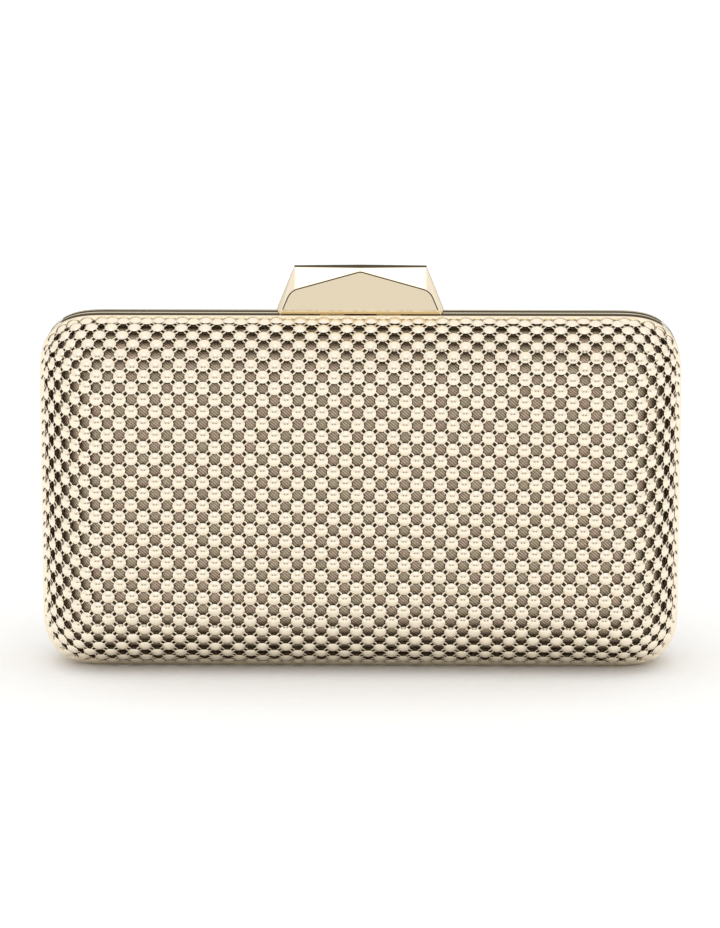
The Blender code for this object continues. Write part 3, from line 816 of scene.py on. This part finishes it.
def clasp_points():
    """All corners of the block: belt, base, top, peak and the rounded shoulders."""
    at = clasp_corners()
    peak = at["peak"]
    shoulder = at["shoulder"]
    top_end = at["top_end"]
    normal = (peak - shoulder).cross(top_end - shoulder)
    top_middle = Vector((0.0, peak.y - normal.z * (top_end.z - peak.z) / normal.y, top_end.z))
    belt_end = at["belt_x"] - 0.9 * MM
    points = []
    for depth, base_y in ((-1, 5.1 * MM), (1, 3.9 * MM)):
        for place in (peak, top_middle):
            points.append((place.x, place.y * depth, place.z))
        for side in (-1, 1):
            points += [
                (at["belt_x"] * side, (at["belt_y"] - 1.6 * MM) * depth, at["belt_z"]),
                (top_end.x * side, top_end.y * depth, top_end.z),
                (belt_end * side, base_y * depth, at["base"]),
                ((belt_end - 0.5 * MM) * side, at["belt_y"] * depth, at["belt_z"]),
            ]
            for x, z in at["flank"]:
                lean_y = at["belt_y"] - at["lean"] * (z - at["belt_z"])
                points.append((x * side, lean_y * depth, z))
    return points


def make_clasp_block():
    """The faceted block, hollow for the bracket and the latch, bored for the cross pin."""
    bm = bmesh.new()
    for point in clasp_points():
        bm.verts.new(point)
    hull = bmesh.ops.convex_hull(bm, input=bm.verts)
    inside = [v for v in hull["geom_interior"] if isinstance(v, bmesh.types.BMVert)]
    bmesh.ops.delete(bm, geom=inside, context='VERTS')
    bmesh.ops.dissolve_limit(bm, angle_limit=math.radians(1), verts=bm.verts, edges=bm.edges)
    bmesh.ops.bevel(bm, geom=list(bm.edges), offset=0.14 * MM, segments=3, profile=0.5,
                    affect='EDGES', clamp_overlap=True)
    flats = [face for face in bm.faces if face.calc_area() > 4.0 * MM * MM]
    bmesh.ops.inset_individual(bm, faces=flats, thickness=0.04 * MM)
    face_outwards(bm)
    block = piece_of(bm, "clasp_faceted_block", GOLD)
    cutters = [
        box_bm(*BLOCK_RECESS),
        box_bm(*LATCH_RECESS),
        peg_bm(PIVOT_BORE[1], -PIVOT_BORE[0], PIVOT_BORE[0], (0, *PIVOT), (1, 0, 0)),
    ]
    for sign in (-1, 1):
        cutters.append(peg_bm(SCREW_BORE, 106.0 * MM, 110.0 * MM,
                              (LATCH_SCREW[0] * sign, LATCH_SCREW[1], 0), (0, 0, 1)))
    carve(block, cutters, 40)
    settle(block, "clasp_lever", "polished_gold", "clasp_block")


def make_engraved_lines():
    """Fine dark line round each leaning face, just inside its ridge, with rounded corners."""
    corners = clasp_corners()
    ridge = corners["ridge"]
    lean = corners["lean"]
    inset = 0.22 * MM
    half_width = 0.17 * MM
    proud, deep = 0.02 * MM, 0.1 * MM
    turn_x = 20.6 * MM
    half = [Vector((22.9 * MM, corners["belt_z"] + 0.2 * MM)),
            Vector((turn_x, corners["peak"].z - ridge * turn_x - inset)),
            Vector((0.0, corners["peak"].z - inset))]
    across = [Vector((-p.x, p.y)) for p in half]
    corner_points = across + half[1::-1]
    path = [corner_points[0]]
    for i, bend in ((1, 2.2 * MM), (2, 0.9 * MM), (3, 2.2 * MM)):
        corner = corner_points[i]
        start = corner + (corner_points[i - 1] - corner).normalized() * bend
        end = corner + (corner_points[i + 1] - corner).normalized() * bend
        path += [start * (1 - t) ** 2 + corner * 2 * t * (1 - t) + end * t * t
                 for t in (k / 8 for k in range(9))]
    path.append(corner_points[-1])
    for name, depth in (("front", -1), ("rear", 1)):
        outward = Vector((0.0, depth, lean)).normalized()
        loops = []
        for i, point in enumerate(path):
            ahead = (path[min(i + 1, len(path) - 1)] - path[max(i - 1, 0)]).normalized()
            y = depth * (corners["belt_y"] - lean * (point.y - corners["belt_z"]))
            centre = Vector((point.x, y, point.y))
            along = Vector((ahead.x, -depth * lean * ahead.y, ahead.y)).normalized()
            beside = along.cross(outward) * half_width
            loops.append([centre + beside + outward * proud, centre - beside + outward * proud,
                          centre - beside - outward * deep, centre + beside - outward * deep])
        line = piece_of(capped_bm(loops)[0], f"clasp_engraved_line_{name}", OXIDE_AND_PAINTED_SHADE, 40)
        settle(line, "clasp_lever", "polished_gold")


# ------------------------------------------------------------------ covers and pocket

def make_covers():
    """Satin covers and linings, with the flat size that each is cut to."""
    for name, side in (("front", -1), ("rear", 1)):
        cover = cushion_sheet(f"{name}_satin", side, SATIN, SATIN_CLOTH)
        settle(cover, f"{name}_half", "satin", f"{name}_satin_cover")
        lining = cushion_sheet(f"{name}_lining_cloth", side, LINING, LINING_CLOTH)
        settle(lining, f"{name}_half", "lining", f"{name}_lining")


def pocket_points(across, up, mouth, under, half):
    """Points of the pocket at a depth under the skin; its mouth stands a little open."""
    gape = np.clip((up - mouth) / (22.0 * MM) + 1.0, 0.0, 1.0) ** 2 * (1 - (across / half) ** 2)
    away = np.full_like(across, ROLL_CENTRE + EDGE_RADIUS * (1 + CROWN))
    points, normals = onto_skin(np.stack([across, away, up], axis=1), 8)
    return points - normals * (under + 1.0 * MM * gape)[:, None], normals


def make_stitches(left, right, foot, mouth, hem):
    """Seam stitches down both sides and along the foot, and a row that holds the hem."""
    pitch = 2.4 * MM
    edge = 1.3 * MM
    lines = (((left + edge, mouth - 1.0 * MM), (left + edge, foot + edge)),
             ((left + edge, foot + edge), (right - edge, foot + edge)),
             ((right - edge, foot + edge), (right - edge, mouth - 1.0 * MM)),
             ((left + edge, mouth - hem + 0.6 * MM), (right - edge, mouth - hem + 0.6 * MM)))
    spots = []
    ahead = []
    for start, end in lines:
        start = Vector(start)
        run = Vector(end) - start
        count = int(run.length / pitch)
        for i in range(count):
            spots.append(start + run * (i + 0.5) / count)
            ahead.append((run.x, 0.0, run.y))
    across = np.array([spot.x for spot in spots])
    up = np.array([spot.y for spot in spots])
    fold = np.where(up > mouth - hem, FOLD, 0.0)
    points, normals = pocket_points(across, up, mouth, POCKET[1] + fold + 0.03 * MM, right)
    shape = piece_of(turned_bm(((-0.8 * MM, 0.05 * MM), (-0.6 * MM, 0.13 * MM),
                                (0.6 * MM, 0.13 * MM), (0.8 * MM, 0.05 * MM)),
                               (0, 0, 0), (1, 0, 0), 6), "stitch", THREAD)
    row = scatter("slip_pocket_stitches", shape, to_world(points, 1), normals, ahead, THREAD)
    bpy.data.objects.remove(shape)
    settle(row, "rear_half", "lining")
    return row


def make_pocket():
    """Flat pocket sewn to the rear lining on three sides, with a turned hem at its mouth."""
    low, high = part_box("slip_pocket")
    left, right = low[0] + 0.3 * MM, high[0] - 0.3 * MM
    foot, mouth = low[2] + 0.3 * MM - HALF_H, high[2] - 0.3 * MM - HALF_H
    hem = 5.0 * MM
    up = np.concatenate([np.linspace(foot, mouth - hem - FOLD, 24),
                         np.linspace(mouth - hem, mouth, 6)])
    fold = np.where(up > mouth - hem - FOLD / 2, FOLD, 0.0)
    fold[-1] = 0.1 * MM
    loops = []
    marks = []
    for x in np.linspace(left, right, 49):
        across = np.full_like(up, x)
        outer = pocket_points(across, up, mouth, np.full_like(up, POCKET[0]), right)[0]
        inner = pocket_points(across, up, mouth, POCKET[1] + fold, right)[0]
        loops.append(np.concatenate([outer, inner[::-1]]))
        marks.append(np.stack([np.concatenate([across, across]),
                               np.concatenate([up, up[::-1]])], axis=1))
    pocket = cloth_piece("slip_pocket_cloth", [to_world(loop, 1) for loop in loops], marks,
                         LINING_CLOTH, 40)
    settle(pocket, "rear_half", "lining", "slip_pocket")
    stitches = make_stitches(left, right, foot, mouth, hem)


def dress_frame_nodes():
    """Materials of the frame's nodes that stay as they are."""
    for name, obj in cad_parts.items():
        if name in ("front_shell", "rear_shell"):
            mat = BOARD
        elif "leaf" in name or name == "clasp_bracket":
            mat = BRASS
        else:
            mat = STEEL
        for slot in obj.material_slots:
            slot.material = mat


make_ball_mesh()
make_rails()
make_lip_shade_strips()
make_clasp_block()
make_engraved_lines()
make_covers()
make_pocket()
dress_frame_nodes()


# ------------------------------------------------------------------ studio

def make_floor():
    mesh = bpy.data.meshes.new("floor")
    reach = 8.0
    mesh.from_pydata([(-reach, -reach, 0), (reach, -reach, 0), (reach, reach, 0),
                      (-reach, reach, 0)], [], [(0, 1, 2, 3)])
    mesh.materials.append(PAPER)
    floor = bpy.data.objects.new("floor", mesh)
    bpy.context.scene.collection.objects.link(floor)


TENT = (1.0, 0.985, 0.965, 1.0)
# Panels set in the tent, each an oval in the sky seen from the bag: how far round from the
# front, how high, its half width and half height in degrees, how soft its edge is, its light
PANELS = (
    (0, 90, 600, 40, 0.4, (1.06, 1.055, 1.045, 1.0)),     # roof
    (0, 44, 26, 8, 0.3, (1.65, 1.62, 1.6, 1.0)),          # soft box over the camera
    (0, 10, 46, 14, 0.25, (0.86, 0.82, 0.765, 1.0)),      # opening for the camera
    (19, 5, 9, 10, 0.6, (0.2, 0.18, 0.16, 1.0)),          # dark stands beside the camera
    (180, 14, 75, 18, 0.2, (0.10, 0.085, 0.06, 1.0)),     # dark room behind
)


def make_world():
    """White tent with a roof light, a soft box, an opening in front and dark behind."""
    world = bpy.data.worlds.new("studio")
    world.use_nodes = True
    tree = world.node_tree
    background = tree.nodes["Background"]
    look = add(tree, "ShaderNodeTexCoord").outputs["Generated"]
    axes = add(tree, "ShaderNodeSeparateXYZ", {"Vector": look}).outputs
    front = add(tree, "ShaderNodeMath", {0: axes["Y"], 1: -1.0}, operation='MULTIPLY')
    round_angle = add(tree, "ShaderNodeMath", {0: axes["X"], 1: front.outputs[0]},
                      operation='ARCTAN2')
    aside = add(tree, "ShaderNodeMath", {0: round_angle.outputs[0]}, operation='ABSOLUTE')
    height = add(tree, "ShaderNodeMath", {0: axes["Z"]}, operation='ARCSINE')
    place = add(tree, "ShaderNodeCombineXYZ", {"X": aside.outputs[0], "Y": height.outputs[0]})
    light = TENT
    for around, up, half_width, half_height, soft, colour in PANELS:
        centre = (math.radians(around), math.radians(up), 0.0)
        size = (math.radians(half_width), math.radians(half_height), 1.0)
        offset = add(tree, "ShaderNodeVectorMath", {0: place.outputs[0], 1: centre},
                     operation='SUBTRACT')
        scaled = add(tree, "ShaderNodeVectorMath", {0: offset.outputs[0], 1: size},
                     operation='DIVIDE')
        reach = add(tree, "ShaderNodeVectorMath", {0: scaled.outputs[0]}, operation='LENGTH')
        inside = add(tree, "ShaderNodeMapRange",
                     {"Value": reach.outputs["Value"], "From Min": 1.0 - soft,
                      "From Max": 1.0 + soft, "To Min": 1.0, "To Max": 0.0},
                     interpolation_type='SMOOTHSTEP')
        light = add(tree, "ShaderNodeMix", {"Factor": inside.outputs["Result"], 6: light,
                                            7: colour}, data_type='RGBA').outputs[2]
    tree.links.new(light, background.inputs["Color"])
    background.inputs["Strength"].default_value = 1.0
    bpy.context.scene.world = world


def make_top_light():
    """Broad light from overhead that lifts the floor to white and shows in no metal."""
    data = bpy.data.lights.new("top_light", 'SUN')
    data.energy = 0.7
    data.angle = math.radians(70)
    lamp = bpy.data.objects.new("top_light", data)
    lamp.visible_glossy = False
    bpy.context.scene.collection.objects.link(lamp)


def make_camera():
    """Camera nearly in front of the bag and a little above it."""
    data = bpy.data.cameras.new("camera")
    data.sensor_width = 36.0
    data.lens = 150.5
    data.clip_start = 0.05
    data.clip_end = 60.0
    camera = bpy.data.objects.new("camera", data)
    bpy.context.scene.collection.objects.link(camera)
    azimuth = math.radians(0.8)
    elevation = math.radians(11.0)
    distance = 1.134
    back = Vector((math.sin(azimuth) * math.cos(elevation),
                   -math.cos(azimuth) * math.cos(elevation), math.sin(elevation)))
    aim = Vector((0.0002, -SKIN_APEX, HALF_H + 12.1 * MM))
    camera.location = aim + back * distance
    camera.rotation_mode = 'QUATERNION'
    camera.rotation_quaternion = (-back).to_track_quat('-Z', 'Y')
    bpy.context.scene.camera = camera


make_floor()
make_world()
make_top_light()
make_camera()
bpy.context.scene.view_settings.view_transform = 'Standard'
bpy.context.scene.view_settings.look = 'None'
